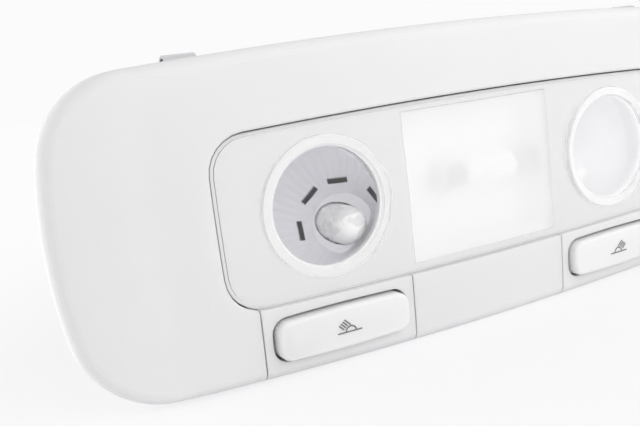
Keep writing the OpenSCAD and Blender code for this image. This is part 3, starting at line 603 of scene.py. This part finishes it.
def seen_directly(tree):
    """A factor of 1 for what the camera sees, also in a mirror or through glass."""
    path = add_node(tree, "ShaderNodeLightPath")
    total = path.outputs["Is Camera Ray"]
    for ray in ("Is Glossy Ray", "Is Transmission Ray"):
        total = add_node(
            tree, "ShaderNodeMath", links={0: total, 1: path.outputs[ray]}, operation="MAXIMUM"
        ).outputs[0]
    return total


def floor_material():
    """Matt white paper, which keeps the object's shadow and fades to plain white away from it."""
    material, tree, place = new_material("White paper")
    far = add_node(tree, "ShaderNodeVectorMath", links={0: place}, operation="LENGTH")
    fade = add_node(
        tree, "ShaderNodeMapRange",
        {"From Min": FADE_START, "From Max": FADE_END, "To Min": 0.78, "To Max": 1.0},
        {"Value": far.outputs["Value"]}, interpolation_type="SMOOTHSTEP",
    )
    share = add_node(
        tree, "ShaderNodeMath", links={0: fade, 1: seen_directly(tree)}, operation="MULTIPLY",
    )
    paper = add_node(tree, "ShaderNodeBsdfDiffuse", {"Color": linear("FAFAFC")})
    white = add_node(tree, "ShaderNodeEmission", {"Color": linear("FCFCFD"), "Strength": 1.0})
    mix = add_node(tree, "ShaderNodeMixShader", links={0: share, 1: paper, 2: white})
    return finished(material, mix)


def add_world(strength):
    """An even white studio: what the camera sees is white, what lights the object is softer."""
    world = bpy.data.worlds.new("Studio")
    world.use_nodes = True
    tree = world.node_tree
    tree.nodes.clear()
    soft = add_node(tree, "ShaderNodeBackground", {"Color": linear("FDFDFD"), "Strength": strength})
    white = add_node(tree, "ShaderNodeBackground", {"Color": linear("FBFBFC"), "Strength": 1.0})
    mix = add_node(tree, "ShaderNodeMixShader", links={0: seen_directly(tree), 1: soft, 2: white})
    add_node(tree, "ShaderNodeOutputWorld", links={"Surface": mix})
    bpy.context.scene.world = world


def area_light(name, place, target, size, power):
    """A soft light aimed at a point; mirrors and glass show the white world instead of it."""
    data = bpy.data.lights.new(name, "AREA")
    data.shape = "RECTANGLE"
    data.size, data.size_y = size
    data.energy = power
    light = bpy.data.objects.new(name, data)
    light.location = place
    light.rotation_mode = "QUATERNION"
    light.rotation_quaternion = (Vector(target) - Vector(place)).to_track_quat("-Z", "Y")
    light.visible_camera = light.visible_glossy = light.visible_transmission = False
    bpy.context.scene.collection.objects.link(light)


def add_camera(lens):
    """The camera close to the light's left end, looking along it from below its crown."""
    data = bpy.data.cameras.new("Camera")
    data.sensor_width = 36
    data.lens = lens
    data.clip_start, data.clip_end = 0.005, 20
    camera = bpy.data.objects.new("Camera", data)
    camera.location = CAMERA_PLACE
    camera.rotation_euler = [math.radians(angle) for angle in CAMERA_DEGREES]
    bpy.context.scene.collection.objects.link(camera)
    bpy.context.scene.camera = camera


class DressOperator:
    """Shared execute of the operators that give CAD nodes their materials."""

    slots = ()

    def execute(self, context):
        dress(self.slots, context.scene.dome_light_finish)
        return {"FINISHED"}


class DOMELIGHT_OT_bezel(DressOperator, bpy.types.Operator):
    """Give the bezel and the panels of the strip their moulded grey plastic"""

    bl_idname = "dome_light.bezel"
    bl_label = "Bezel and panels"
    slots = ("bezel_plastic",)


class DOMELIGHT_OT_buttons(DressOperator, bpy.types.Operator):
    """Give the buttons their smoother plastic and print a pictogram on each"""

    bl_idname = "dome_light.buttons"
    bl_label = "Buttons"
    slots = ("button_plastic",)

    def execute(self, context):
        super().execute(context)
        settings = context.scene.dome_light_print
        ink = ink_material(context.scene.dome_light_finish.ink)
        for name, side in (("left", 1), ("right", -1)):
            piece = print_on(f"{name}_button", f"{name}_pictogram", settings, ink, side)
            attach(piece, f"{name}_key")
        return {"FINISHED"}


class DOMELIGHT_OT_cover(DressOperator, bpy.types.Operator):
    """Give the clear cover, the round lenses and the window their see-through plastics"""

    bl_idname = "dome_light.cover"
    bl_label = "Cover and lenses"
    slots = ("clear_cover", "clear_lens", "carrier_plastic", "frosted_window", "white_plastic")


class DOMELIGHT_OT_lamps(DressOperator, bpy.types.Operator):
    """Give the reflectors, the bulbs and their holders their metals, glass and plastic"""

    bl_idname = "dome_light.lamps"
    bl_label = "Lamps"
    slots = (
        "reflector_metal", "bulb_glass", "filament_wire",
        "socket_plastic", "cap_metal", "contact_metal",
    )


class DOMELIGHT_OT_inside(DressOperator, bpy.types.Operator):
    """Give the housing, switches, strips, connector, clips and screws their materials"""

    bl_idname = "dome_light.inside"
    bl_label = "Housing and inner pieces"
    slots = (
        "switch_plastic", "spring_steel", "housing_plastic",
        "strip_brass", "connector_plastic", "screw_steel",
    )


class DOMELIGHT_OT_stage(bpy.types.Operator):
    """Set up the white floor, the soft lights and the camera"""

    bl_idname = "dome_light.stage"
    bl_label = "Stage"

    def execute(self, context):
        settings = context.scene.dome_light_stage
        low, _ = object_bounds()
        shape = bmesh.new()
        bmesh.ops.create_grid(shape, x_segments=1, y_segments=1, size=FLOOR_HALF)
        mesh = bpy.data.meshes.new("floor")
        shape.to_mesh(mesh)
        shape.free()
        mesh.materials.append(floor_material())
        floor = bpy.data.objects.new("floor", mesh)
        floor.location = (0, 0, low.z)
        context.scene.collection.objects.link(floor)
        floor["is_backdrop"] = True
        add_world(settings.surround)
        area_light("Key", KEY_PLACE, KEY_TARGET, KEY_SIZE, settings.key_power)
        area_light("Rim", RIM_PLACE, RIM_TARGET, RIM_SIZE, settings.rim_power)
        add_camera(settings.lens)
        context.scene.view_settings.view_transform = "Standard"
        return {"FINISHED"}


class DOMELIGHT_PT_panel(bpy.types.Panel):
    """Settings and steps of the dome light"""

    bl_idname = "DOMELIGHT_PT_panel"
    bl_label = "Dome light"
    bl_space_type = "VIEW_3D"
    bl_region_type = "UI"
    bl_category = "Dome light"

    def draw(self, context):
        for name in SETTINGS:
            settings = getattr(context.scene, name)
            box = self.layout.box()
            for key in settings.bl_rna.properties.keys():
                if key not in ("rna_type", "name"):
                    box.prop(settings, key)
        for step in OPERATORS:
            self.layout.operator(step.bl_idname)


SETTINGS = {
    "dome_light_finish": DomeLightFinish,
    "dome_light_print": DomeLightPrint,
    "dome_light_stage": DomeLightStage,
}
OPERATORS = (
    DOMELIGHT_OT_bezel, DOMELIGHT_OT_buttons, DOMELIGHT_OT_cover, DOMELIGHT_OT_lamps,
    DOMELIGHT_OT_inside, DOMELIGHT_OT_stage,
)


def register():
    """Registers the settings, the operators and the panel."""
    for name, group in SETTINGS.items():
        bpy.utils.register_class(group)
        setattr(bpy.types.Scene, name, bpy.props.PointerProperty(type=group))
    for step in (*OPERATORS, DOMELIGHT_PT_panel):
        bpy.utils.register_class(step)


def unregister():
    """Removes everything that register() added."""
    for step in (DOMELIGHT_PT_panel, *reversed(OPERATORS)):
        bpy.utils.unregister_class(step)
    for name, group in SETTINGS.items():
        delattr(bpy.types.Scene, name)
        bpy.utils.unregister_class(group)


def main():
    """Runs every step."""
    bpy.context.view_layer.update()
    register()
    bpy.ops.dome_light.bezel()
    bpy.ops.dome_light.buttons()
    bpy.ops.dome_light.cover()
    bpy.ops.dome_light.lamps()
    bpy.ops.dome_light.inside()
    bpy.ops.dome_light.stage()


if __name__ == "__main__":
    main()
